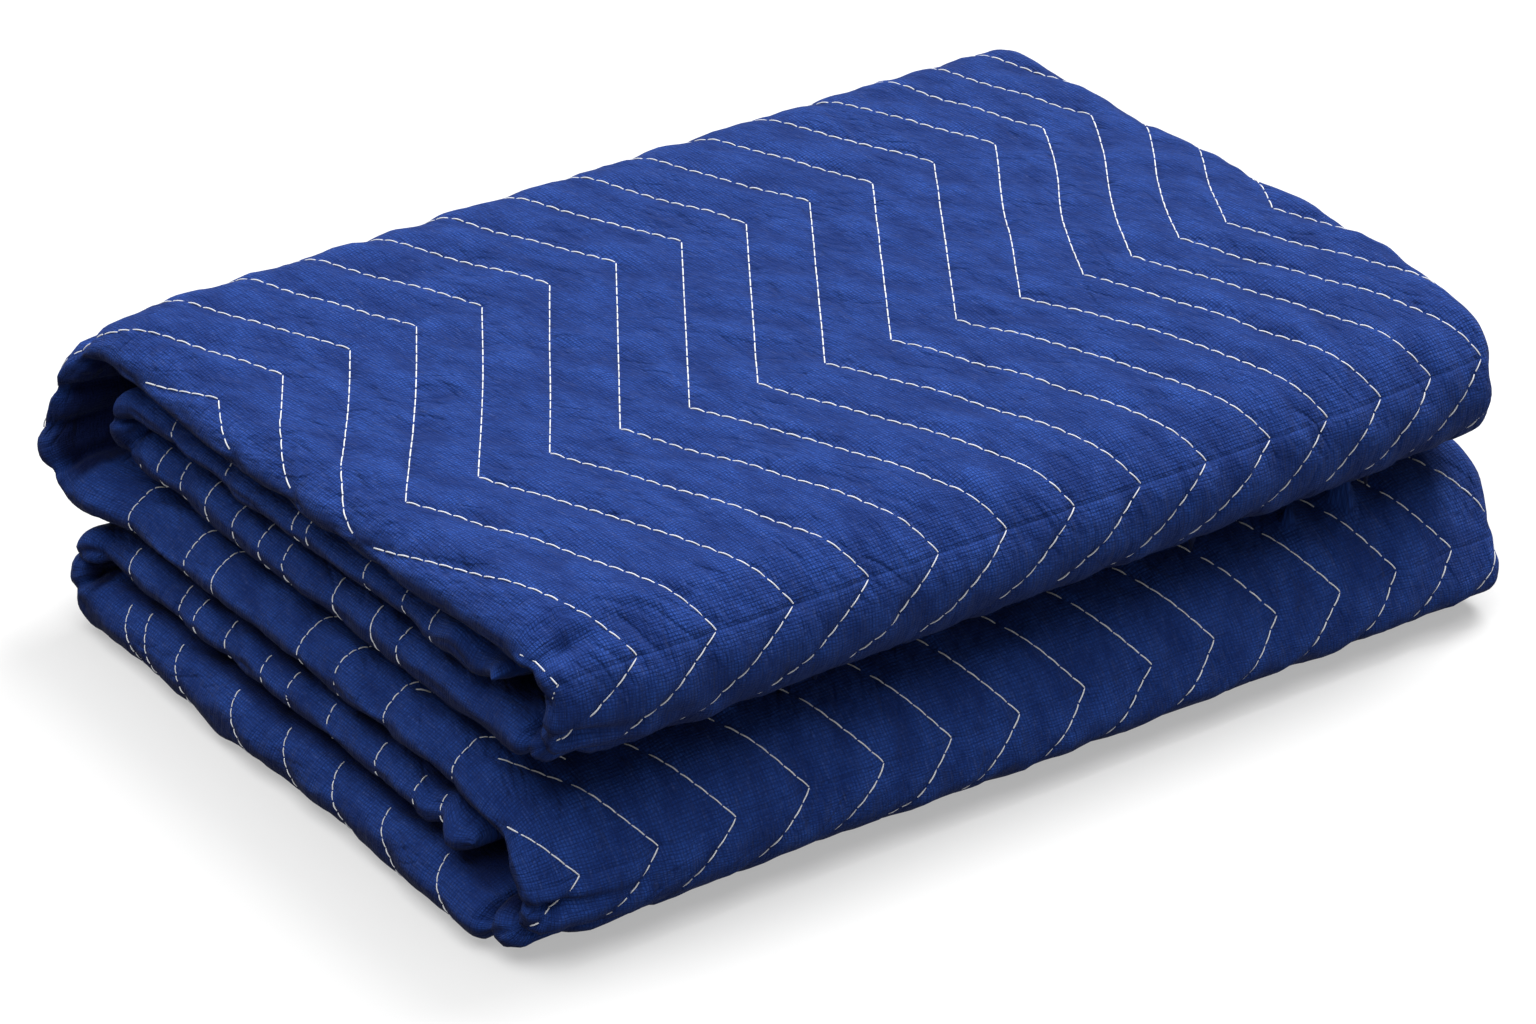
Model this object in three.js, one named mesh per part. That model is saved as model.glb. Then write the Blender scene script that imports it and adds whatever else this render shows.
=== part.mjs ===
// A quilted moving blanket, folded up. It has first been folded in four across its width, which
// makes a long flat strip, and the strip has then been folded back and forth over its length into
// six layers: an upper roll of three and a lower roll of three. The strip is one solid, because the
// blanket is one piece of quilted cloth.
import * as THREE from "three";

// Driving sizes, in millimetres.
const LENGTH = 457; // along X: a quarter of the blanket's 1830 mm width
const DEPTH = 333; // along Y, from the lower front fold to the upper back fold
const LAYER_GAP = 1.2; // air between two neighbouring layers
const QUILT_PITCH = 30.3; // between neighbouring zigzag seams, along X
const QUILT_DEPTH = 1.5; // how far a seam draws each face in
const SEAM_CORNER = { x: 8.7, y: 74.5 }; // one right-hand corner of the zigzag on the top layer
const SEAM_SWING = 2.127 * QUILT_PITCH; // how far each leg of the zigzag goes sideways
const SEAM_LEG = 117; // cloth between two corners
const SEAM_LEAN = 10.6; // sideways drift of the zigzag in one leg
const INNER_END_INSET = 30; // both ends of the strip stop this far behind the front folds

// The six layers in the order in which the strip runs. "place" counts from the bottom of the pile,
// "thick" is the layer with its share of air, and "left" and "right" say how far its ends stay in.
const LAYERS = [
  { name: "upper inner end", place: 4, thick: 16.2, left: 22, right: 4 },
  { name: "upper bottom", place: 3, thick: 22, left: 23, right: 3 },
  { name: "top", place: 5, thick: 19, left: 19, right: 0 },
  { name: "lower top", place: 2, thick: 20, left: 12, right: 3 },
  { name: "bottom", place: 0, thick: 27, left: 0, right: 3 },
  { name: "lower inner end", place: 1, thick: 17, left: 8, right: 6 },
];

// The five folds between them. "side" is +1 at the back and -1 at the front, "inset" is how far the
// outside of the fold stays in from the pile's depth, "hollow" is how far the inside of the fold
// reaches past the straight layers, and "left" and "right" say how far its ends stay in.
const FOLDS = [
  { side: +1, inset: 26, hollow: 1, left: 18, right: 4 },
  { side: -1, inset: 5, hollow: 9, left: 22, right: 8 },
  { side: +1, inset: 0, hollow: 11, left: 8, right: 5 },
  { side: -1, inset: 0, hollow: 10, left: 8, right: 4 },
  { side: +1, inset: 19, hollow: 1, left: 2, right: 6 },
];

// The weight of the pile presses the front folds flat towards their lower side. "from" is where
// along Y that starts, and "squeeze" is the share of its height that a roll loses at its front.
const FRONT_SAG = {
  upper: { from: -78, squeeze: 0.17 },
  lower: { from: -82, squeeze: 0.42 },
};

// How finely the solid is divided. Every layer has rows at the same places along Y, so that
// neighbouring layers stay clear of each other where the front sags.
const TRACE_STEP = 1.5; // between the samples of the strip's middle line
const LAYER_ROWS = [-141, -120, -99, -78, -15, 48, 111];
const FOLD_STEP = 16; // between rows round a fold
const SHORTEST_STEP = 8; // a row closer than this to a seam's corner is left out
const EDGE_STEPS = [0, 40, 90].map(THREE.MathUtils.degToRad); // round a rolled edge, tip to face

const { lerp, smoothstep } = THREE.MathUtils;
const halfOf = (layer) => (layer.thick - LAYER_GAP) / 2;

// Height of a layer's middle above the surface.
function levelOf(layer) {
  const below = LAYERS.filter((other) => other.place < layer.place);
  return below.reduce((sum, other) => sum + other.thick, 0) + halfOf(layer);
}

// One sample of the strip: its middle point, the normal of its first face, the point on its outer
// side along which the cloth is measured, and its sizes there.
function sample(middle, normal, outer, layer, half = halfOf(layer)) {
  return { middle, normal, outer, half, left: layer.left, right: layer.right };
}

// A fold's samples. Its inside is half an ellipse between the facing sides of two layers.
function traceFold(fold, from, to) {
  const down = Math.sign(levelOf(from) - levelOf(to));
  const inFrom = levelOf(from) - down * halfOf(from);
  const inTo = levelOf(to) + down * halfOf(to);
  const thickness = halfOf(from) + halfOf(to);
  const centre = fold.side * (DEPTH / 2 - fold.inset - thickness - fold.hollow);
  const tall = Math.abs(inFrom - inTo) / 2;
  const length = Math.PI * (Math.max(tall, fold.hollow) + thickness / 2);
  const count = Math.ceil(length / TRACE_STEP);
  return Array.from({ length: count + 1 }, (_, n) => {
    const turn = down * (Math.PI / 2 - (Math.PI * n) / count);
    const out = new THREE.Vector2(Math.cos(turn) * fold.side, Math.sin(turn));
    const inside = new THREE.Vector2(centre + fold.hollow * out.x, (inFrom + inTo) / 2 + tall * out.y);
    const normal = new THREE.Vector2(out.x / fold.hollow, out.y / tall).normalize();
    const half = lerp(halfOf(from), halfOf(to), smoothstep(n / count, 0, 1));
    const middle = inside.clone().addScaledVector(normal, half);
    const outer = middle.clone().addScaledVector(normal, half);
    const layer = n < count / 2 ? from : to;
    const depth = Math.sin((Math.PI * n) / count) ** 2;
    const ends = {
      left: lerp(layer.left, fold.left, depth),
      right: lerp(layer.right, fold.right, depth),
    };
    const facing = down * fold.side; // +1 where the strip's first face is the outside of the fold
    return sample(middle, normal.multiplyScalar(facing), outer, ends, half);
  });
}

// One end of the strip, with its first face up (+1) or down (-1).
function endOf(layer, up) {
  const middle = new THREE.Vector2(-DEPTH / 2 + INNER_END_INSET, levelOf(layer));
  return sample(middle, new THREE.Vector2(0, up), middle, layer);
}

// The whole strip as samples with the distance run along it, and where its folds start and end.
function traceStrip() {
  const trace = [{ ...endOf(LAYERS[0], 1), run: 0 }];
  const extend = (samples) => {
    let run = trace.at(-1).run + samples[0].middle.distanceTo(trace.at(-1).middle);
    samples.forEach((item, n) => {
      if (n) run += item.outer.distanceTo(samples[n - 1].outer);
      trace.push({ ...item, run });
    });
    return { start: trace.at(-samples.length), end: trace.at(-1) };
  };
  const bends = FOLDS.map((fold, i) => extend(traceFold(fold, LAYERS[i], LAYERS[i + 1])));
  extend([endOf(LAYERS.at(-1), -1)]);
  return { trace, bends };
}

const { trace: strip, bends } = traceStrip();
const stripLength = strip.at(-1).run;

// The strip at a distance along it.
function stripAt(run) {
  const i = Math.max(1, strip.findIndex((item) => item.run >= run));
  const [a, b] = [strip[i - 1], strip[i]];
  const share = (run - a.run) / (b.run - a.run);
  return {
    run,
    middle: a.middle.clone().lerp(b.middle, share),
    normal: a.normal.clone().lerp(b.normal, share).normalize(),
    half: lerp(a.half, b.half, share),
    left: lerp(a.left, b.left, share),
    right: lerp(a.right, b.right, share),
  };
}

// The zigzag's corners, numbered along the strip from the one that SEAM_CORNER places.
const topLayer = bends[1].end;
const anchor = topLayer.run + SEAM_CORNER.y - topLayer.middle.x;
const cornerX = (n) => SEAM_CORNER.x + n * SEAM_LEAN - (Math.abs(n) % 2) * SEAM_SWING;

// The legs that go down round the two front folds are bowed: they leave the fold's corner slanting.
const bowed = { [-3]: (share) => share ** 2, 4: (share) => 1 - (1 - share) ** 2 };

// Sideways place of the seam through that corner.
function seamAt(run) {
  const legs = (run - anchor) / SEAM_LEG;
  const corner = Math.floor(legs);
  const share = legs - corner;
  return lerp(cornerX(corner), cornerX(corner + 1), bowed[corner]?.(share) ?? share);
}

// How deep a place lies in a seam's groove: 1 on the seam and 0 midway between two seams.
function grooveAt(x, run) {
  return 0.5 + 0.5 * Math.cos((2 * Math.PI * (x - seamAt(run))) / QUILT_PITCH);
}

// Distances along the strip at which the solid has a row of points.
function rowRuns() {
  const corners = [];
  for (let run = anchor % SEAM_LEG; run < stripLength; run += SEAM_LEG) corners.push(run);
  const layerRows = LAYERS.flatMap((_, i) => {
    const start = i ? bends[i - 1].end : strip[0];
    const end = bends[i]?.start ?? strip.at(-1);
    const forward = Math.sign(end.middle.x - start.middle.x);
    const runs = LAYER_ROWS.map((y) => start.run + forward * (y - start.middle.x));
    return runs.filter((run) => run > start.run + SHORTEST_STEP && run < end.run - SHORTEST_STEP);
  });
  const foldRows = bends.flatMap(({ start, end }) => {
    const rows = Math.ceil((end.run - start.run) / FOLD_STEP);
    return Array.from({ length: rows + 1 }, (_, n) => lerp(start.run, end.run, n / rows));
  });
  const apart = [...layerRows, ...foldRows].filter((run) =>
    corners.every((corner) => Math.abs(corner - run) > SHORTEST_STEP),
  );
  const reach = strip[0].half + SHORTEST_STEP;
  return [...apart, ...corners]
    .filter((run) => run > reach && run < stripLength - reach)
    .sort((first, second) => first - second);
}

// The rows with their place in the rolled end of the strip: "full" is the share of the thickness.
function stripRows() {
  const rows = rowRuns().map((run) => ({ at: stripAt(run), full: 1 }));
  const rounded = EDGE_STEPS.map((angle) => ({ inset: 1 - Math.cos(angle), full: Math.sin(angle) }));
  const starts = rounded.map(({ inset, full }) => ({ at: stripAt(inset * strip[0].half), full }));
  const ends = rounded.map(({ inset, full }) => ({
    at: stripAt(stripLength - inset * strip.at(-1).half),
    full,
  }));
  return [...starts, ...rows, ...ends.reverse()];
}

// The columns of one row: the rolled edge at the left, the seams and the ridges between them, and
// the rolled edge at the right. "order" numbers them alike in all rows, whatever their number.
const LAST_ORDER = 1000;
function rowColumns({ at }) {
  const left = -LENGTH / 2 + at.left;
  const right = LENGTH / 2 - at.right;
  const edge = (side, from, step) => {
    const angle = EDGE_STEPS[step];
    const tuck = QUILT_DEPTH * grooveAt(from, at.run) + (1 - Math.cos(angle)) * at.half;
    return { order: side * (LAST_ORDER - step), x: from - side * tuck, full: Math.sin(angle) };
  };
  const columns = EDGE_STEPS.map((_, step) => edge(-1, left, step));
  const first = seamAt(at.run);
  const clear = at.half + QUILT_PITCH / 5;
  const from = Math.ceil((2 * (left + clear - first)) / QUILT_PITCH);
  const to = Math.floor((2 * (right - clear - first)) / QUILT_PITCH);
  for (let n = from; n <= to; n += 1) {
    columns.push({ order: n, x: first + (n * QUILT_PITCH) / 2, full: 1 });
  }
  const rightEdge = EDGE_STEPS.map((_, step) => edge(+1, right, step)).reverse();
  return [...columns, ...rightEdge];
}

// Where the pile's weight brings a point: each roll is squeezed down on its base near the front.
const upperBase = levelOf(LAYERS[3]) + halfOf(LAYERS[3]) + LAYER_GAP / 2;
function settle(y, z) {
  const [sag, base] = z > upperBase ? [FRONT_SAG.upper, upperBase] : [FRONT_SAG.lower, 0];
  const share = Math.max(0, (sag.from - y) / (sag.from + DEPTH / 2));
  return base + (z - base) * (1 - sag.squeeze * share ** 2);
}

// A point of the solid, off the strip's middle towards its first face (+1) or its second (-1).
function pointAt(row, column, face) {
  const { at } = row;
  const share = row.full * column.full;
  const onFloor = face * at.normal.y < -0.999 && at.middle.y < at.half + 0.01;
  const groove = onFloor ? 0 : QUILT_DEPTH * grooveAt(column.x, at.run);
  const off = face * share * (at.half - groove);
  const y = at.middle.x + off * at.normal.x;
  return [column.x, y, settle(y, at.middle.y + off * at.normal.y)];
}

// The blanket's surface. Both faces have the same rows and columns and share the points of the
// rolled edges' tips, and neighbouring rows are joined column by column.
function blanketGeometry() {
  const points = [];
  const triangles = [];
  const add = (point) => points.push(point) - 1;
  const grid = stripRows().map((row) =>
    rowColumns(row).map((column) => {
      const first = add(pointAt(row, column, 1));
      const shared = row.full * column.full < 1e-6;
      return { ...column, faces: [first, shared ? first : add(pointAt(row, column, -1))] };
    }),
  );
  const triangle = (a, b, c) => {
    for (const face of [0, 1]) {
      const corners = [a, b, c].map((column) => column.faces[face]);
      if (new Set(corners).size < 3) continue;
      triangles.push(...(face ? corners.reverse() : corners));
    }
  };
  for (let r = 1; r < grid.length; r += 1) {
    const [near, far] = [grid[r - 1], grid[r]];
    let [i, j] = [0, 0];
    while (i < near.length - 1 || j < far.length - 1) {
      const [a, b] = [near[i + 1], far[j + 1]];
      const lead = a.order - b.order;
      if (lead <= 0) {
        triangle(near[i], a, far[j]);
        i += 1;
      }
      if (lead >= 0) {
        triangle(near[i], b, far[j]);
        j += 1;
      }
    }
  }
  const geometry = new THREE.BufferGeometry();
  geometry.setAttribute("position", new THREE.Float32BufferAttribute(points.flat(), 3));
  geometry.setIndex(triangles);
  geometry.computeVertexNormals();
  return geometry;
}

const cloth = new THREE.MeshStandardMaterial({
  name: "royal blue quilted cloth",
  color: 0x22409a,
  roughness: 0.85,
  metalness: 0,
});

const blanket = new THREE.Mesh(blanketGeometry(), cloth);
blanket.name = "blanket";

const group = new THREE.Group();
group.add(blanket);

export default group;
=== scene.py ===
"""A quilted moving blanket, folded up: its cloth, the thread of its seams, and a plain studio."""

import math

import bpy
import numpy as np
from mathutils import Matrix, Vector
from mathutils.bvhtree import BVHTree


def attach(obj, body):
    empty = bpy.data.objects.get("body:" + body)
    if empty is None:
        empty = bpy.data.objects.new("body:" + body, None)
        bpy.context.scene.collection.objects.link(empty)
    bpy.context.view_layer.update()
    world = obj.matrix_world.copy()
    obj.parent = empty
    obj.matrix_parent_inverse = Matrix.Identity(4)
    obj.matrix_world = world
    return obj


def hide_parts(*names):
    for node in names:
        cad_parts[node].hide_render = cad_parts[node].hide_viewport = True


bl_info = {
    "name": "Folded moving blanket",
    "version": (1, 0, 0),
    "blender": (4, 5, 0),
    "location": "View3D > Sidebar > Blanket",
    "description": "Builds a folded, quilted moving blanket with its seams, and a plain studio round it",
    "category": "Add Mesh",
}

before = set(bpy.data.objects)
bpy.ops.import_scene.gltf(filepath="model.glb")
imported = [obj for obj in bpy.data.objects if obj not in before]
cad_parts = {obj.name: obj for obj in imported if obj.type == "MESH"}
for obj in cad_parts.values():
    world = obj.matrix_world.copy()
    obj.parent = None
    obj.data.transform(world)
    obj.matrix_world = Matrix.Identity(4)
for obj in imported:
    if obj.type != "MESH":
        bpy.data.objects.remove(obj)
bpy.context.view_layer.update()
MM = 0.001


def table(columns, *rows):
    """The rows of a table, with their values under the names of its columns."""
    return tuple(dict(zip(columns.split(), row)) for row in rows)


# The blanket is folded in four to a strip, and the strip back and forth into six layers. They stand
# here in the order in which the strip runs. "place" counts from the bottom of the pile, and the rest
# is in millimetres: "thick" is the layer with its share of air, "left" and "right" say how far its
# rims stay in, "round" is how far its left rim is rounded, and "sag" how far that rim's tip hangs down.
LAYERS = table(
    "name place thick left right round sag",
    ("upper inner end", 4, 16.2, 22, 4, 11, 2.5),
    ("upper bottom", 3, 22, 20, 3, 14, 2),
    ("top", 5, 19, 19, 0, 18, 4),
    ("lower top", 2, 20, 12, -2, 14, 3),
    ("bottom", 0, 27, 0, 7, 14, 3),
    ("lower inner end", 1, 17, 8, 6, 11, 2.5),
)

# The five folds between them, in millimetres. "side" is +1 at the back and -1 at the front, "inset"
# is how far the outside of the fold stays in, "hollow" is how far its inside reaches past the
# straight layers, and the last four are as above.
FOLDS = table(
    "side inset hollow left right round sag",
    (+1, 26, 1, 18, 4, 12, 1),
    (-1, 5, 9, 22, 8, 13, 1),
    (+1, 0, 11, 9, 5, 14, 1),
    (-1, 0, 10, 8, 8, 14, 1),
    (+1, 19, 1, 2, 6, 12, 1),
)

# Where the left rim of a fold is pinched: "at" is the share of the way round the fold, and the
# others are in millimetres.
PINCHES = table(
    "fold at deep wide reach",
    (2, 0.22, 4.9, 3.6, 30),
    (2, 0.43, 7.4, 3.8, 38),
    (2, 0.60, 4, 3.2, 26),
    (2, 0.80, 6.5, 4.0, 36),
    (4, 0.30, 4.9, 3.6, 28),
    (4, 0.62, 5.6, 3.8, 30),
    (0, 0.45, 5.6, 3.8, 26),
    (0, 0.85, 4, 4.0, 20),
    (1, 0.08, 10.6, 3.8, 26),
    (1, 0.24, 9.3, 3.6, 20),
    (1, 0.40, 6.1, 3.4, 18),
    (1, 0.85, 6.1, 4.5, 18),
    (3, 0.45, 6.1, 3.6, 18),
    (3, 0.68, 9.3, 3.8, 24),
    (3, 0.90, 10.6, 4.2, 28),
)

# The short seams that cross the left rims of the layers, in millimetres: "places" along Y at the tip
# of the rim, "lean" for how much further back their upper ends are, "over" for how far they go on
# over the upper face, and "slope" for how far they come forward there in each millimetre.
RIM_SEAMS = table(
    "layer lean over slope places",
    (0, 4, 5, 0.5, (118, 97, 58, 10, 1, -36, -60, -80)),
    (1, 5, 0, 0, (118, 104, 90, 70, 50, 31, 15, -17, -43, -60)),
    (3, 3, 20, 1.5, (112, 72, 53, -6, -31, -62, -105)),
    (5, 4, 0, 0, (109, 72, 60, 40, 14, -4, -30, -63, -88, -102)),
    (4, 11, 0, 0, (98, 85, 61, 19, -14, -46, -80, -117)),
)

# Where a roll stands higher, or below zero lower, than its layers alone would make it, all in
# millimetres: "x" and "y" are the middle of the place, "wide" and "deep" its reach both ways.
HEIGHTS = table(
    "roll x y wide deep lift",
    ("upper", -190, 60, 60, 60, -4.0),
    ("upper", -225, 160, 30, 30, 3.0),
    ("upper", -205, -145, 90, 45, 5.5),
    ("upper", -40, -145, 80, 50, 2.5),
    ("upper", 190, -45, 75, 90, 4.5),
    ("upper", 110, 140, 160, 70, 2.5),
    ("lower", -120, -150, 60, 30, 2.5),
)

# Corners of the zigzag that stand further along the strip than even legs would put them.
LATE_CORNERS = {-1: 5.5, 4: 5.3}

# The weight of the pile presses the front of each roll down: from where along Y, in millimetres, and
# by what share of its height.
FRONT_SAG = {"upper": (-78, 0.17), "lower": (-82, 0.42)}

# Where the zigzag seams aren't evenly spaced. "past" is the place along X past which they spread by
# "share" or, below zero, close up, and the others are distances along the strip, all in millimetres.
SPREADS = table(
    "past share start full fade end",
    (-85, -0.045, 737, 836, 886, 986),
    (-75, 0.075, 436, 546, 620, 737),
    (-75, 0.060, 1136, 1236, 1436, 1536),
    (160, -0.20, 756, 846, 936, 1036),
    (115, -0.23, 636, 726, 756, 846),
    (115, -0.13, 436, 546, 636, 726),
    (145, -0.08, 1186, 1286, 1436, 1536),
)

# Layers whose left rims lie close on another, and the inner face of each fold that is open at its left
# end: +1 for the strip's first face and -1 for its second. Shade is painted between those rims and inside
# those folds.
CLOSE_LAYERS = (0, 1, 4, 5)
INNER_FACES = {1: -1, 2: -1, 3: 1, 4: 1}

RIM_WAVE = 0.8 * MM  # how far the rims wave in and out
RIM_ROOM = 1.0 * MM  # how far they stay in for that
RIGHT_ROUNDING = 0.6  # the right rims' rounding, as a share of the left rims'
RIM_BEFORE = 4 * MM  # what belongs to a layer's rims starts this far before its straight part,
RIM_INSIDE = 10 * MM  # and is full this far inside it
PARTING = 0.24  # the share of their thickness by which the layers part at their left rims,
PARTED = 16 * MM  # and the distance over which they do

PUFF_RISE = 4.2 * MM  # the distance over which the cloth rises beside a seam
PUFF_SWELL = 0.12  # how far it swells between two seams, as a share of the depth,
PUFF_REACH = 13.3 * MM  # and the distance over which it does
ACROSS_LEG = 0.88  # the way straight across a slanting leg, as a share of the way along X

GROOVE_DEEP = 0.6 * MM  # the grooves of the short seams
GROOVE_WIDE = 2.8 * MM
CRUMPLING = 3.4 * MM  # at the left of the strip's two ends
LUMPS = 0.25 * MM  # on the rims

OUTER_FOLD_OUT = 3.0 * MM  # how far the outer back fold stands out at its left end
LOWER_FOLD_OUT = 2.0 * MM  # the same for the lower back fold
BELLY_OUT = 5.0 * MM  # how much further the outer fold's lower half does, to the back
BELLY_LONGER = 8.0 * MM  # and to the left
FOOT_OUT = 3.5 * MM  # how far the foot of the lower front fold stands out
CORNER_BACK = 4 * MM  # how far the upper roll's front right corner stays back

# The mesh. Columns stand closer where the cloth shows, at shares of the way from seam to seam, and the
# points round a rim are ordered past all seams.
TRACE_STEP = 1.5 * MM  # round a fold
FINE_ROW = 2.5 * MM  # from row to row where the cloth shows
PLAIN_ROW = 3.8 * MM  # and elsewhere
RIM_STEPS = 10
END_STEPS = 5
PUFF_SHARES = (0, 0.045, 0.1, 0.17, 0.26, 0.37, 0.5, 0.63, 0.74, 0.83, 0.9, 0.955)
PLAIN_SHARES = (0, 0.5)
RIM_ORDER = 100

CORNERS = (-9, 12)  # the first corner of a zigzag, and the one past its last
SEAM_NUMBERS = 16  # the highest number of a seam
SEAM_WRAP = 1.35  # how far a zigzag seam goes round a rim, as a share of its rounding
LOWER_TOP_SEWN = 75 * MM  # how far back the lower roll's upper side is sewn
RIM_STITCHES = 0.62  # the short seams' stitches, as a share of the usual ones
RIM_SEAM_ENDS = (60, 82)  # angles between which the short seams end, in degrees from the rim's tip
PATH_STEPS = 48
LAID_FROM = 1.5 * MM  # a path is laid onto the cloth from this far outside it,
LAID_DEEP = 4 * MM  # this deep at most,
LOWEST_THREAD = 0.8 * MM  # and no lower than this above the floor

# Creases in the cloth's relief: how far they are turned, in radians, their width and length in
# millimetres, and for the soft ones their share of the relief.
SOFT_CREASES = table(
    "turn wide long share",
    (-0.14, 11, 45, 2.4),
    (0.42, 7, 30, 1.8),
    (1.1, 6, 20, 0.9),
)
SHARP_CREASES = table(
    "turn wide long",
    (-0.2, 13, 50),
    (0.5, 10, 32),
)

# The folded corners where the cloth is crushed: a number of legs, and which way along the strip.
CRUSHED_FROM = ((-2.0, -1), (4.0, 1))

FLOOR_REACH = 7.0
FLOOR_LEVEL = -0.2 * MM
CAMERA_PLACE = (-1.0827, -1.4802, 1.0426)
CAMERA_ANGLES = (-36.08, 28.72, 0.31)  # its turn about Z, its tilt down and its roll, in degrees


def setting(name, description, default, **kind):
    """A property of one number, or of as many as its default has. "kind" is its unit or subtype."""
    if isinstance(default, tuple):
        return bpy.props.FloatVectorProperty(
            name=name, description=description, default=default, size=len(default), **kind
        )
    return bpy.props.FloatProperty(name=name, description=description, default=default, **kind)


class BlanketSizes(bpy.types.PropertyGroup):
    """Sizes of the folded blanket and its seams."""

    length: setting("Length", "Along the folds", 0.457, unit="LENGTH")
    depth: setting("Depth", "From the front folds to the back folds", 0.333, unit="LENGTH")
    layer_gap: setting("Layer gap", "Air between two layers", 0.0012, unit="LENGTH")
    end_inset: setting(
        "End inset", "How far the strip's two ends stop behind the front folds", 0.044, unit="LENGTH"
    )
    quilt_pitch: setting("Quilt pitch", "Between neighbouring zigzag seams", 0.0303, unit="LENGTH")
    quilt_depth: setting("Quilt depth", "How far a seam draws the cloth in", 0.0018, unit="LENGTH")
    seam_leg: setting("Seam leg", "Cloth between two corners of a zigzag", 0.117, unit="LENGTH")
    seam_swing: setting("Seam swing", "How far each leg goes sideways", 0.0644, unit="LENGTH")
    seam_lean: setting("Seam lean", "Sideways drift of the zigzag in one leg", 0.0106, unit="LENGTH")
    seam_corner: setting(
        "Seam corner", "A right-hand corner of a zigzag on the top layer", (0.0087, 0.0745), unit="LENGTH"
    )
    stitch_pitch: setting("Stitch pitch", "From stitch to stitch", 0.0067, unit="LENGTH")
    stitch_length: setting("Stitch length", "Thread that shows in one stitch", 0.0057, unit="LENGTH")
    thread_width: setting("Thread width", "Diameter of the thread", 0.00054, unit="LENGTH")
    wrinkle_height: setting("Wrinkle height", "Height of the soft wrinkles", 0.0009, unit="LENGTH")


class BlanketLooks(bpy.types.PropertyGroup):
    """Colours and patterns of the blanket."""

    cloth: setting("Cloth", "Woven cloth", (0.0044, 0.0195, 0.108), subtype="COLOR")
    # The lighter colour serves both real rubbed mottling and painted light on the crests of the wrinkles.
    cloth_worn_and_lit: setting("Worn cloth", "Where it is rubbed", (0.0128, 0.0440, 0.205), subtype="COLOR")
    cloth_deep: setting("Deep cloth", "Between its threads", (0.0024, 0.0100, 0.062), subtype="COLOR")
    # Painted shade: the darker colour of the cloth where it is turned down or to the left, and in the
    # nooks between its rims.
    painted_shade_cloth: setting(
        "Sheltered cloth", "Shaded, where it is turned down", (0.0007, 0.0034, 0.027), subtype="COLOR"
    )
    lint: setting("Lint", "Faint streaks of lint", (0.06, 0.085, 0.20), subtype="COLOR")
    thread: setting("Thread", "Thread of the seams", (0.46, 0.47, 0.50), subtype="COLOR")
    weave_pitch: setting("Weave pitch", "Between two threads of the weave", 0.0013, unit="LENGTH")


class BlanketStudio(bpy.types.PropertyGroup):
    """Floor, lights and camera."""

    floor: setting("Floor", "Colour of the floor", (0.25, 0.25, 0.25), subtype="COLOR")
    floor_glow: setting("Floor glow", "Light that the floor gives itself, which softens shadows", 0.41)
    sky: setting("Sky", "Strength of the even light", 0.35)
    lamp: setting("Lamp", "Strength of the soft lamp", 5.2)
    lamp_from: setting("Lamp from", "Direction of the lamp", (-0.10, 0.06, 1.0), subtype="DIRECTION")
    softness: setting("Softness", "Angle over which the lamp spreads", 1.3, subtype="ANGLE")
    key: setting("Key", "Strength of the slanting lamp", 4.4)
    key_from: setting("Key from", "Direction of that lamp", (0.62, 0.26, 0.85), subtype="DIRECTION")
    key_softness: setting("Key softness", "Angle over which that lamp spreads", 0.5, subtype="ANGLE")
    focal_length: setting("Focal length", "Of the camera, in millimetres", 129.7)


def smooth(value, low, high):
    """0 below low, 1 above high, and a smooth rise between them."""
    share = np.clip((value - low) / (high - low), 0, 1)
    return share * share * (3 - 2 * share)


def window(value, start, full, fade, end):
    """0 up to start, 1 from full to fade, and 0 again from end on."""
    return smooth(value, start, full) * (1 - smooth(value, fade, end))


def ripples(u, v, wave_u, wave_v, seed, count=14):
    """A soft random field of about -1 to 1 over u and v, with waves of about the given lengths."""
    dice = np.random.default_rng(seed)
    total = np.zeros(np.broadcast(u, v).shape)
    for _ in range(count):
        turn = dice.uniform(0, 2 * math.pi)
        size = dice.uniform(0.7, 1.6) * 2 * math.pi
        along, across = math.cos(turn) * size / wave_u, math.sin(turn) * size / wave_v
        total += np.sin(along * u + across * v + dice.uniform(0, 2 * math.pi))
    return total / math.sqrt(count / 2) / 1.6


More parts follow.
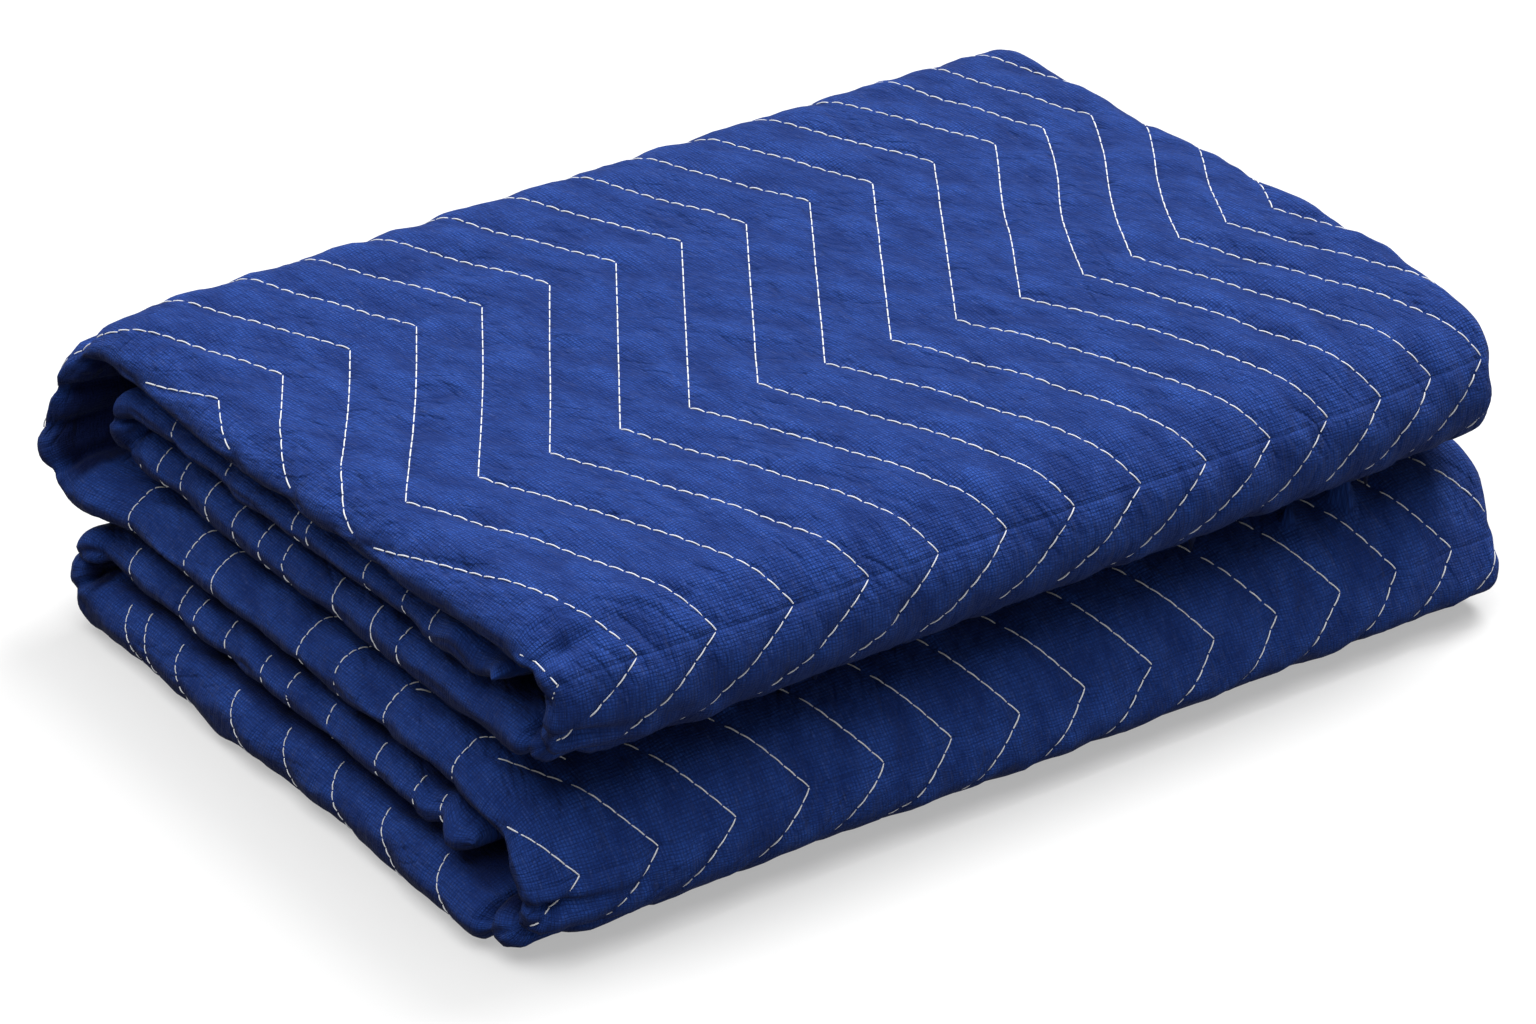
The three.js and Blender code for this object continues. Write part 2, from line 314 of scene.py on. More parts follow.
class Strip:
    """The strip of quilted cloth as it runs through the pile, and the shape of its surface."""

    COLUMNS = ("y", "z", "ny", "nz", "half", "left", "right", "round", "sag")
    RIM_KEYS = ("left", "right", "round", "sag")

    def __init__(self, size):
        self.size = size
        self.bends = []
        runs, rows = self.trace()
        self.runs = np.array(runs)
        self.rows = np.array(rows)
        self.total = self.runs[-1]
        end = self.bends[1][1]
        self.anchor = end + size.seam_corner[1] - self.column(end, "y")
        self.corners = np.arange(*CORNERS)
        late = [LATE_CORNERS.get(int(n), 0) * MM for n in self.corners]
        self.corner_runs = self.anchor + self.corners * size.seam_leg + late
        self.upper_base = self.level(LAYERS[3]) + self.half(LAYERS[3]) + size.layer_gap / 2

    def half(self, layer):
        return (layer["thick"] * MM - self.size.layer_gap) / 2

    def level(self, layer):
        """Height of a layer's middle above the floor."""
        below = sum(other["thick"] for other in LAYERS if other["place"] < layer["place"])
        return below * MM + self.half(layer)

    def ends(self, layer, fold=None, share=0.0):
        """The rims' insets and shape, part of the way from a layer's to a fold's."""
        fold = fold or layer
        return [(layer[key] * (1 - share) + fold[key] * share) * MM for key in self.RIM_KEYS]

    def trace_fold(self, fold, one, other):
        """A fold's rows, and the points on its outer side along which the cloth is measured."""
        down = math.copysign(1, self.level(one) - self.level(other))
        inside = (self.level(one) - down * self.half(one), self.level(other) + down * self.half(other))
        thickness = self.half(one) + self.half(other)
        hollow = fold["hollow"] * MM
        centre = fold["side"] * (self.size.depth / 2 - fold["inset"] * MM - thickness - hollow)
        tall = abs(inside[0] - inside[1]) / 2
        facing = down * fold["side"]
        count = math.ceil(math.pi * (max(tall, hollow) + thickness / 2) / TRACE_STEP)
        rows, outer = [], []
        for n in range(count + 1):
            turn = down * (math.pi / 2 - math.pi * n / count)
            out = Vector((math.cos(turn) * fold["side"], math.sin(turn)))
            point = Vector((centre + hollow * out.x, sum(inside) / 2 + tall * out.y))
            normal = Vector((out.x / hollow, out.y / tall)).normalized()
            share = float(smooth(n / count, 0, 1))
            half = self.half(one) * (1 - share) + self.half(other) * share
            middle = point + normal * half
            outer.append(middle + normal * half)
            layer = one if n < count / 2 else other
            ends = self.ends(layer, fold, math.sin(math.pi * n / count) ** 2)
            rows.append([*middle, *(normal * facing), half, *ends])
        return rows, outer

    def trace(self):
        """The whole strip: the distance along it and the values of COLUMNS at each sample."""
        first = -self.size.depth / 2 + self.size.end_inset
        last = LAYERS[-1]
        rows = [[first, self.level(LAYERS[0]), 0, 1, self.half(LAYERS[0]), *self.ends(LAYERS[0])]]
        runs = [0.0]
        for fold, one, other in zip(FOLDS, LAYERS, LAYERS[1:]):
            made, outer = self.trace_fold(fold, one, other)
            start = runs[-1] + abs(made[0][0] - rows[-1][0])
            steps = [0] + [(b - a).length for a, b in zip(outer, outer[1:])]
            runs += list(start + np.cumsum(steps))
            rows += made
            self.bends.append((start, runs[-1]))
        runs.append(runs[-1] + abs(first - rows[-1][0]))
        rows.append([first, self.level(last), 0, -1, self.half(last), *self.ends(last)])
        return runs, rows

    def column(self, run, name):
        return np.interp(run, self.runs, self.rows[:, self.COLUMNS.index(name)])

    def spot(self, fold, share):
        """Distance along the strip of a place part of the way round a fold."""
        start, end = self.bends[fold]
        return start + (end - start) * share

    def way_round(self, fold, run):
        """The share of the way round a fold at a distance along the strip."""
        start, end = self.bends[fold]
        return (run - start) / (end - start)

    def layer_runs(self, index):
        """Distances along the strip at which a layer starts and ends."""
        start = self.bends[index - 1][1] if index else 0.0
        end = self.bends[index][0] if index < len(self.bends) else self.total
        return start, end

    def part(self, fold, run, *shares):
        """A window over shares of the way round a fold."""
        return window(run, *(self.spot(fold, share) for share in shares))

    def on_layers(self, run, layers):
        """1 on the straight parts of some layers, fading past their ends, else 0."""
        best = np.zeros(run.shape)
        for index in layers:
            start, end = self.layer_runs(index)
            rise, fall = (start - RIM_BEFORE, start + RIM_INSIDE), (end - RIM_INSIDE, end + RIM_BEFORE)
            best = np.maximum(best, window(run, *rise, *fall))
        return best

    def corner_x(self, n):
        return self.size.seam_corner[0] + n * self.size.seam_lean - (np.abs(n) % 2) * self.size.seam_swing

    def legs(self, run):
        """Number of zigzag legs from the seam corner to a distance along the strip."""
        return np.interp(run, self.corner_runs, self.corners)

    def seam_x(self, run):
        """Sideways place of the seam through the seam corner. Two legs are bowed, at the front folds."""
        legs = self.legs(run)
        corner = np.floor(legs)
        share = legs - corner
        share = np.where(corner == -3, share**2, np.where(corner == 4, 1 - (1 - share) ** 2, share))
        return self.corner_x(corner) * (1 - share) + self.corner_x(corner + 1) * share

    def spread(self, even, run):
        """How far the seams stand aside from even spacing."""
        aside = np.zeros(np.broadcast(even, run).shape)
        for row in SPREADS:
            side = math.copysign(1, row["past"])
            past = np.clip(side * (even - row["past"] * MM), 0, None)
            stretch = (row[key] * MM for key in ("start", "full", "fade", "end"))
            aside = aside + side * row["share"] * past * window(run, *stretch)
        return aside

    def seam_place(self, number, run):
        """Flat sideways place of a seam, by its number, or of a line between two seams."""
        even = self.seam_x(run) + number * self.size.quilt_pitch
        return even + self.spread(even, run)

    def seam_number(self, flat, run):
        """The seam at a flat place, as a number that is whole on a seam."""
        even = flat
        for _ in range(6):
            even = flat - self.spread(even, run)
        return (even - self.seam_x(run)) / self.size.quilt_pitch

    def edges(self, run):
        """Flat places where the faces end and the rounded rims start, and the rounding of both rims."""
        wave = RIM_WAVE * ripples(run, 0.0, 0.11, 1.0, seed=3)
        soft = self.column(run, "round")
        firm = RIGHT_ROUNDING * soft
        left = -self.size.length / 2 + self.column(run, "left") + soft + RIM_ROOM + wave
        right = self.size.length / 2 - self.column(run, "right") - firm - RIM_ROOM - np.abs(wave)
        return left, right, soft, firm

    def rim_seam_y(self, y, row, turn):
        """Place along Y of a rim seam, at an angle from the rim's tip. Up is positive."""
        return y * MM + row["lean"] * MM * np.sin(turn)

    def quilting(self, run, flat, face, nz, z, half, rim):
        """How far a seam draws the cloth in: most on a seam, and nearly nothing midway to the next.
        The side on the floor is pressed flatter, and so are rims whose seams are short arcs and the
        outer back fold."""
        number = self.seam_number(flat, run)
        aside = np.abs(number - np.round(number)) * self.size.quilt_pitch * ACROSS_LEG
        swell = PUFF_SWELL * np.sin(np.pi * np.clip(aside / PUFF_REACH, 0, 1))
        puff = 1 - np.exp(-aside / PUFF_RISE) + swell
        on_floor = (face * nz < -0.99) & (z < half + 0.1 * MM)
        arcs = self.on_layers(run, [row["layer"] for row in RIM_SEAMS])
        behind = self.part(2, run, -0.2, 0.1, 0.9, 1.1)
        share = np.where(on_floor, 0.3, 1) * (1 - 0.85 * arcs * rim) * (1 - 0.65 * behind)
        return self.size.quilt_depth * (puff - 1) * share

    def painted_nook_shade(self, run, flat, face):
        """Painted shade: up to 1 between the left rims of layers that lie close on each other and inside
        the left rims of folds, else 0."""
        left, _, soft, _ = self.edges(run)
        rim = np.sin(np.clip((left - flat) / soft, 0, math.pi / 2))
        inside = np.zeros(run.shape)
        for fold, inner in INNER_FACES.items():
            inside = np.maximum(inside, self.part(fold, run, 0, 0.1, 0.9, 1) * (face == inner))
        dark = 0.8 * self.on_layers(run, CLOSE_LAYERS) * (1 - smooth(rim, 0.05, 0.60))
        dark = dark + inside * (1 - smooth(rim, 0.45, 1.0))
        return np.clip(dark, 0, 1) * smooth(-flat, 0.12, 0.16)

    def crush(self, run):
        """1 round the front folds below the seams' corners, where the cloth is crushed, else 0."""
        return self.part(1, run, -0.1, 0.2, 0.6, 0.75) + self.part(3, run, 0.25, 0.4, 0.8, 1.1)

    def wrinkles(self, run, flat):
        """Soft wrinkles everywhere, mostly along the strip, and fine ones where it is crushed."""
        soft = ripples(flat + 0.3 * run, run - 0.3 * flat, 0.020, 0.050, seed=11)
        fine = ripples(flat, run, 0.009, 0.030, seed=12)
        short = ripples(flat - 0.4 * run, run + 0.4 * flat, 0.010, 0.026, seed=13)
        return 1.2 * soft + 0.45 * short + fine * (0.08 + 0.45 * self.crush(run))

    def pinches(self, run, flat, left, rim):
        """Depth of the pinches of the left rim, which fade out over the faces and are shallower at the
        rim's tip."""
        depth = np.zeros(run.shape)
        inward = np.clip(flat - left, 0, None)
        for row in PINCHES:
            away = (run - self.spot(row["fold"], row["at"])) / (row["wide"] * MM)
            fade = np.exp(-inward / (row["reach"] * MM))
            depth = depth - row["deep"] * MM * np.exp(-(away**2)) * fade
        return depth * (0.75 + 0.25 * rim) * (1 - 0.65 * rim**4)

    def rim_seam_grooves(self, run, face, y, angle):
        """Depth of the short seams across the left rims."""
        depth = np.zeros(run.shape)
        for row in RIM_SEAMS:
            start, end = self.layer_runs(row["layer"])
            up = np.sign(self.column((start + end) / 2, "nz"))
            turn = face * up * (math.pi / 2 - angle)
            inside = (run > start) & (run < end)
            for place in row["places"]:
                away = (y - self.rim_seam_y(place, row, turn)) / GROOVE_WIDE
                depth = depth - GROOVE_DEEP * np.exp(-(away**2)) * inside
        return depth * np.sin(angle)

    def crumple(self, run, x, seed):
        """Crumpling at the left of the strip's two ends, where they are rolled in."""
        near = 1 - window(run, 0.012, 0.060, self.total - 0.060, self.total - 0.012)
        return CRUMPLING * near * ripples(run, x, 0.026, 0.05, seed) * smooth(-x, 0.12, 0.20)

    def flare(self, run, x):
        """How far the folds stand out at their ends, to the back (below zero to the front) and to the
        right (below zero to the left)."""
        outer, lower = (np.sin(np.pi * np.clip(self.way_round(fold, run), 0, 1)) for fold in (2, 4))
        belly = self.part(2, run, 0.45, 0.72, 1.0, 1.3)
        near = smooth(-x, 0.13, 0.22)
        foot = self.part(3, run, 0.35, 0.6, 0.9, 1.15) * smooth(x, -0.12, 0.02)
        back = (OUTER_FOLD_OUT * outer + LOWER_FOLD_OUT * lower + BELLY_OUT * belly) * near
        return back - FOOT_OUT * foot, -BELLY_LONGER * belly * near

    def settle(self, x, y, z):
        """Where the pile's weight and its uneven height bring a point."""
        upper = z > self.upper_base
        base = np.where(upper, self.upper_base, 0)
        squeezed = np.zeros(x.shape)
        for roll, (start, squeeze) in FRONT_SAG.items():
            share = np.clip((start * MM - y) / (start * MM + self.size.depth / 2), 0, None)
            squeezed = squeezed + np.where(upper == (roll == "upper"), squeeze * share**2, 0)
        lifted = np.zeros(x.shape)
        for row in HEIGHTS:
            away = ((x / MM - row["x"]) / row["wide"]) ** 2 + ((y / MM - row["y"]) / row["deep"]) ** 2
            inside = upper == (row["roll"] == "upper")
            lifted = lifted + np.where(inside, row["lift"] * MM * np.exp(-away) / self.upper_base, 0)
        return base + (z - base) * (1 - squeezed + lifted)

    def surface(self, run, flat, face, full=1.0):
        """Points of the blanket's surface, on its first face (+1) or its second (-1), at flat places
        across it. Past a face's edge the point goes on round the rim, which is fuller below than above.
        "full" is the share of the thickness, which shrinks to nothing at the strip's two ends."""
        given = (np.asarray(values, float) for values in (run, flat, face, full))
        run, flat, face, full = np.broadcast_arrays(*given)
        left, right, soft, firm = self.edges(run)
        past = np.clip(left - flat, 0, None) - np.clip(flat - right, 0, None)
        rounding = np.where(past < 0, firm, soft)
        angle = np.clip(np.abs(past) / rounding, 0, math.pi / 2)
        rim = np.sin(angle)
        on_left = past > 0
        ny, nz = self.column(run, "ny"), self.column(run, "nz")
        length = np.hypot(ny, nz)
        ny, nz = ny / length, nz / length
        y, z, half = self.column(run, "y"), self.column(run, "z"), self.column(run, "half")
        depth = self.quilting(run, flat, face, nz, z, half, rim) * np.where(past < 0, 1 - 0.6 * rim, 1)
        depth = depth + self.size.wrinkle_height * self.wrinkles(run, flat) * (0.5 + 0.1 * rim)
        lumps = ripples(run, face * (math.pi / 2 - angle) * 0.010, 0.034, 0.05, seed=21)
        depth = depth + LUMPS * lumps * rim
        depth = depth + self.pinches(run, flat, left, rim)
        depth = depth + self.rim_seam_grooves(run, face, y, angle) * on_left
        bend = 0.875 + 0.275 * face * nz
        x = np.clip(flat, left, right) - np.sign(past) * rim**bend * (rounding + depth)
        x = x + self.crumple(run, x, 60) * rim * on_left
        top = (run > self.bends[1][1]) & (run < self.bends[2][0]) & (face > 0)
        parted = PARTING * smooth(left + PARTED - flat, 0, PARTED) * ~top
        away = full * face * np.cos(angle) * (half * (1 - parted) + depth)
        away = away + self.crumple(run, x, 61) * (0.3 + 0.7 * rim) * full
        y, z = y + away * ny, z + away * nz - full * rim * self.column(run, "sag") * on_left
        corner = smooth(x, 0.14, 0.235) * smooth(-y, 0.05, 0.15) * (z > self.upper_base)
        z = self.settle(x, y, z)
        back, aside = self.flare(run, x)
        return np.stack([x + aside, y + back + CORNER_BACK * corner, np.maximum(z, 0)], axis=-1)

    def normal(self, run, flat, face):
        """Outward normals of the surface."""
        step = 0.4 * MM
        along = self.surface(run + step, flat, face) - self.surface(run - step, flat, face)
        across = self.surface(run, flat + step, face) - self.surface(run, flat - step, face)
        normal = np.cross(across, along) * np.asarray(face)[..., None]
        return normal / np.linalg.norm(normal, axis=-1, keepdims=True)

    def shown_face(self, run):
        """Which face shows at a distance along the strip: +1, -1, or 0 where neither does."""
        if self.spot(1, -0.1) < run < self.bends[2][1]:
            return 1
        sewn, last = self.bends[3][0] - LOWER_TOP_SEWN, self.bends[4]
        if sewn < run < self.spot(3, 1.1) or last[0] < run < last[1]:
            return -1
        return 0

    def row_runs(self):
        """The mesh's rows: the distance along the strip, and the share of the thickness there."""
        corners = self.corner_runs
        first, last = self.column(0, "half"), self.column(self.total, "half")
        angles = np.linspace(0, math.pi / 2, END_STEPS + 1)
        rows = [(first * (1 - math.cos(angle)), math.sin(angle)) for angle in angles]
        while rows[-1][0] < self.total - last - PLAIN_ROW:
            step = FINE_ROW if self.shown_face(rows[-1][0]) else PLAIN_ROW
            after = rows[-1][0] + step
            near = corners[np.abs(corners - after) < step / 2]
            rows.append((float(near[0]) if len(near) else after, 1.0))
        ends = [(self.total - last * (1 - math.cos(angle)), math.sin(angle)) for angle in angles]
        return rows + ends[::-1]

    def row_columns(self, run, fine):
        """A row's places across one face: an order that is alike in all rows, a flat place, and the
        angle round the rim."""
        left, right, soft, firm = self.edges(run)
        angles = np.linspace(0, math.pi / 2, RIM_STEPS + 1)
        low, high = self.seam_number(left, run), self.seam_number(right, run)
        shares = PUFF_SHARES if fine else PLAIN_SHARES
        numbers = np.add.outer(np.arange(math.floor(low), math.ceil(high)), shares).ravel()
        numbers = numbers[(numbers > low + 0.04) & (numbers < high - 0.04)]
        columns = [(-RIM_ORDER - n, left - soft * angles[n], angles[n]) for n in range(RIM_STEPS, -1, -1)]
        columns += [(number, self.seam_place(number, run), 0.0) for number in numbers]
        columns += [(RIM_ORDER + n, right + firm * angles[n], angles[n]) for n in range(RIM_STEPS + 1)]
        return columns


def blanket_grid(strip):
    """The samples of the blanket's surface, and its rows: for both faces, pairs of an order and the
    number of a sample. The faces share the samples at the tips of the rims."""
    samples, grid = [], []
    for run, full in strip.row_runs():
        shared, faces = {}, []
        for face in (1, -1):
            row = []
            for order, flat, angle in strip.row_columns(run, strip.shown_face(run) == face):
                tip = full * math.cos(angle) < 1e-6
                if tip and order in shared:
                    row.append((order, shared[order]))
                    continue
                row.append((order, len(samples)))
                if tip:
                    shared[order] = len(samples)
                samples.append((run, flat, face, full))
            faces.append(row)
        grid.append(faces)
    return np.array(samples), grid


def zip_rows(near, far):
    """Triangles that join two neighbouring rows."""
    triangles = []
    i = j = 0
    while i < len(near) - 1 or j < len(far) - 1:
        lead = near[i + 1][0] - far[j + 1][0]
        if lead <= 0:
            triangles.append((near[i][1], near[i + 1][1], far[j][1]))
            i += 1
        if lead >= 0:
            triangles.append((near[i][1], far[j + 1][1], far[j][1]))
            j += 1
    return triangles


def blanket_triangles(grid):
    """The blanket's triangles. Where both faces would have the same one, neither has it."""
    triangles = {}
    for near, far in zip(grid, grid[1:]):
        for face in (0, 1):
            for a, b, c in zip_rows(near[face], far[face]):
                if a == b or b == c or a == c:
                    continue
                key = frozenset((a, b, c))
                if triangles.pop(key, None) is None:
                    triangles[key] = (c, b, a) if face else (a, b, c)
    return np.array(list(triangles.values()))


def add_map(mesh, name, values):
    """Adds a UV map that holds a pair of values per point of the mesh."""
    layer = mesh.uv_layers.new(name=name)
    corners = np.zeros(len(mesh.loops), dtype=np.int32)
    mesh.loops.foreach_get("vertex_index", corners)
    layer.uv.foreach_set("vector", values[corners].astype(np.float32).ravel())


def add_values(mesh, name, values):
    """Adds an attribute that holds a number per point of the mesh."""
    layer = mesh.attributes.new(name, "FLOAT", "POINT")
    layer.data.foreach_set("value", np.asarray(values, dtype=np.float32))


def show(name, mesh, material=None):
    """Puts a mesh into the scene as an object."""
    thing = bpy.data.objects.new(name, mesh)
    bpy.context.scene.collection.objects.link(thing)
    if material:
        mesh.materials.append(material)
    return thing


def declare(piece):
    """Ties a piece to the blanket of the frame."""
    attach(piece, "root")
    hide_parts("blanket")


def add_node(tree, kind, inputs=None, **settings):
    """Adds a node. Each input is a plain value, or another node's output to link from."""
    node = tree.nodes.new(kind)
    for name, value in settings.items():
        setattr(node, name, value)
    for name, value in (inputs or {}).items():
        if isinstance(value, bpy.types.NodeSocket):
            tree.links.new(value, node.inputs[name])
        else:
            node.inputs[name].default_value = value
    return node


def reckon(tree, operation, *values, clamp=False):
    """Output of a math node."""
    inputs = dict(enumerate(values))
    return add_node(tree, "ShaderNodeMath", inputs, operation=operation, use_clamp=clamp).outputs[0]


def noise(tree, place, scale=1.0, detail=2.0, roughness=0.5):
    """The outputs of a noise texture."""
    inputs = {"Vector": place, "Scale": scale, "Detail": detail, "Roughness": roughness}
    return add_node(tree, "ShaderNodeTexNoise", inputs).outputs


def fade(tree, value, low, high, kind="SMOOTHSTEP"):
    """Output that goes from 0, where the value is low, to 1, where it is high."""
    inputs = {"Value": value, "From Min": low, "From Max": high}
    return add_node(tree, "ShaderNodeMapRange", inputs, interpolation_type=kind).outputs["Result"]


def stretched(tree, flat, scale, turn=0.0):
    """Output of a node that stretches flat places and then turns them."""
    inputs = {"Vector": flat, "Rotation": (0, 0, turn), "Scale": (*scale, 1)}
    return add_node(tree, "ShaderNodeMapping", inputs).outputs[0]


def slanted(tree, flat, turn, wide, long):
    """Output of a node that turns flat places and measures them in patches of a size in millimetres."""
    inputs = {"Vector": flat, "Rotation": (0, 0, turn), "Scale": (wide * MM, long * MM, 1)}
    return add_node(tree, "ShaderNodeMapping", inputs, vector_type="TEXTURE").outputs[0]


def reckon_vector(tree, operation, one, other):
    """Output of a vector math node. The other value of "SCALE" is a number."""
    inputs = {0: one, "Scale" if operation == "SCALE" else 1: other}
    return add_node(tree, "ShaderNodeVectorMath", inputs, operation=operation).outputs[0]


def new_group(name, kind, inputs, outputs):
    """An empty node group with its sockets, and its input and output nodes."""
    group = bpy.data.node_groups.new(name, kind)
    for label, socket, value in inputs:
        made = group.interface.new_socket(label, in_out="INPUT", socket_type=socket)
        if value is not None:
            made.default_value = value
    for label, socket in outputs:
        group.interface.new_socket(label, in_out="OUTPUT", socket_type=socket)
    return group, group.nodes.new("NodeGroupInput"), group.nodes.new("NodeGroupOutput")


def weave_group():
    """Plain weave over flat cloth, with thick and thin threads: their height, from 0 to 1."""
    inputs = [("Flat", "NodeSocketVector", None), ("Pitch", "NodeSocketFloat", 0.001)]
    outputs = [("Height", "NodeSocketFloat")]
    group, given, result = new_group("Plain weave", "ShaderNodeTree", inputs, outputs)
    flat = given.outputs["Flat"]
    wobble = noise(group, flat, 260.0, 3.0)["Color"]
    shift = reckon_vector(group, "SCALE", reckon_vector(group, "ADD", wobble, (-0.5, -0.5, -0.5)), 0.0010)
    bent = reckon_vector(group, "ADD", flat, shift)
    apart = add_node(group, "ShaderNodeSeparateXYZ", {"Vector": bent})
    turns = [reckon(group, "DIVIDE", apart.outputs[axis], given.outputs["Pitch"]) for axis in ("X", "Y")]
    waves = [reckon(group, "SINE", reckon(group, "MULTIPLY", turn, math.pi)) for turn in turns]
    ridges = [reckon(group, "SQRT", reckon(group, "ABSOLUTE", wave)) for wave in waves]
    both = reckon(group, "MULTIPLY", *ridges)
    over = reckon(group, "MULTIPLY", *waves)
    height = reckon(group, "ADD", both, reckon(group, "MULTIPLY", over, 0.18), clamp=True)
    for scale in ((1300, 150), (120, 1500)):
        threads = noise(group, stretched(group, flat, scale))["Fac"]
        height = reckon(group, "MULTIPLY", height, fade(group, threads, 0.18, 0.54))
    group.links.new(height, result.inputs["Height"])
    return group


def wear_group():
    """Uneven colour of used cloth: soft mottling and faint streaks of lint."""
    inputs = [("Flat", "NodeSocketVector", None)]
    outputs = [("Mottle", "NodeSocketFloat"), ("Lint", "NodeSocketFloat")]
    group, given, result = new_group("Worn cloth", "ShaderNodeTree", inputs, outputs)
    flat = given.outputs["Flat"]
    patches = noise(group, slanted(group, flat, 0.2, 10, 26), detail=5.0, roughness=0.62)["Fac"]
    streaks = noise(group, stretched(group, flat, (900, 160), turn=0.6))["Fac"]
    group.links.new(fade(group, patches, 0.32, 0.68, "LINEAR"), result.inputs["Mottle"])
    group.links.new(fade(group, streaks, 0.56, 0.78, "LINEAR"), result.inputs["Lint"])
    return group


def creased(group, flat, height):
    """A height with the soft creases added, and the sharp ones taken off in parts of the cloth."""
    for row in SOFT_CREASES:
        place = slanted(group, flat, row["turn"], row["wide"], row["long"])
        soft = noise(group, place, detail=3.0)["Fac"]
        height = reckon(group, "MULTIPLY_ADD", soft, row["share"], height)
    for row in SHARP_CREASES:
        place = slanted(group, flat, row["turn"], row["wide"], row["long"])
        sharp = noise(group, place, detail=1.0)["Fac"]
        off_line = reckon(group, "ABSOLUTE", reckon(group, "SUBTRACT", sharp, 0.5))
        in_parts = fade(group, noise(group, flat, 28.0)["Fac"], 0.46, 0.60)
        crease = reckon(group, "MULTIPLY", fade(group, off_line, 0.085, 0.0), in_parts)
        height = reckon(group, "MULTIPLY_ADD", crease, -0.42, height)
    return height


def pucker_group():
    """Puckers beside the seams, crushed cloth round the front folds, the crease of each front fold, and
    wrinkles across the rims, as a height of some units."""
    inputs = [
        ("Quilt", "NodeSocketVector", None),
        ("Flat", "NodeSocketVector", None),
        ("Rim", "NodeSocketFloat", 0.0),
    ]
    outputs = [("Height", "NodeSocketFloat")]
    group, given, result = new_group("Puckers", "ShaderNodeTree", inputs, outputs)
    flat = given.outputs["Flat"]
    apart = add_node(group, "ShaderNodeSeparateXYZ", {"Vector": given.outputs["Quilt"]})
    near_seam = fade(group, reckon(group, "PINGPONG", apart.outputs["X"], 0.5), 0.30, 0.0)
    height = creased(group, flat, reckon(group, "MULTIPLY", noise(group, flat, 230.0)["Fac"], near_seam))
    lines = noise(group, stretched(group, flat, (330, 45)), detail=3.0)["Fac"]
    for corner, way in CRUSHED_FROM:
        past = reckon(group, "MULTIPLY", reckon(group, "SUBTRACT", apart.outputs["Y"], corner), way)
        crushed = reckon(group, "MULTIPLY", fade(group, past, -0.05, 0.08), fade(group, past, 0.75, 0.45))
        height = reckon(group, "MULTIPLY_ADD", reckon(group, "MULTIPLY", lines, crushed), 1.5, height)
        crease = fade(group, reckon(group, "ABSOLUTE", past), 0.016, 0.0)
        height = reckon(group, "MULTIPLY_ADD", crease, -0.4, height)
    rows = noise(group, stretched(group, flat, (40, 260)))["Fac"]
    on_rim = reckon(group, "MULTIPLY", rows, given.outputs["Rim"])
    height = reckon(group, "MULTIPLY_ADD", on_rim, 1.6, height)
    group.links.new(height, result.inputs["Height"])
    return group


def set_inputs(node, values):
    """Sets plain values of a node's inputs."""
    for name, value in values.items():
        node.inputs[name].default_value = value


def new_material(name):
    """A material with its tree and its shader."""
    material = bpy.data.materials.new(name)
    material.use_nodes = True
    tree = material.node_tree
    return material, tree, next(node for node in tree.nodes if node.type == "BSDF_PRINCIPLED")


def mixed(tree, share, one, other):
    """Output of a node that mixes two colours."""
    node = add_node(tree, "ShaderNodeMix", data_type="RGBA")
    for index, value in ((0, share), (6, one), (7, other)):
        if isinstance(value, bpy.types.NodeSocket):
            tree.links.new(value, node.inputs[index])
        else:
            node.inputs[index].default_value = value
    return node.outputs[2]


def opaque(colour, share=1.0):
    """A colour with its alpha, darkened to a share."""
    return (*(share * part for part in colour), 1)


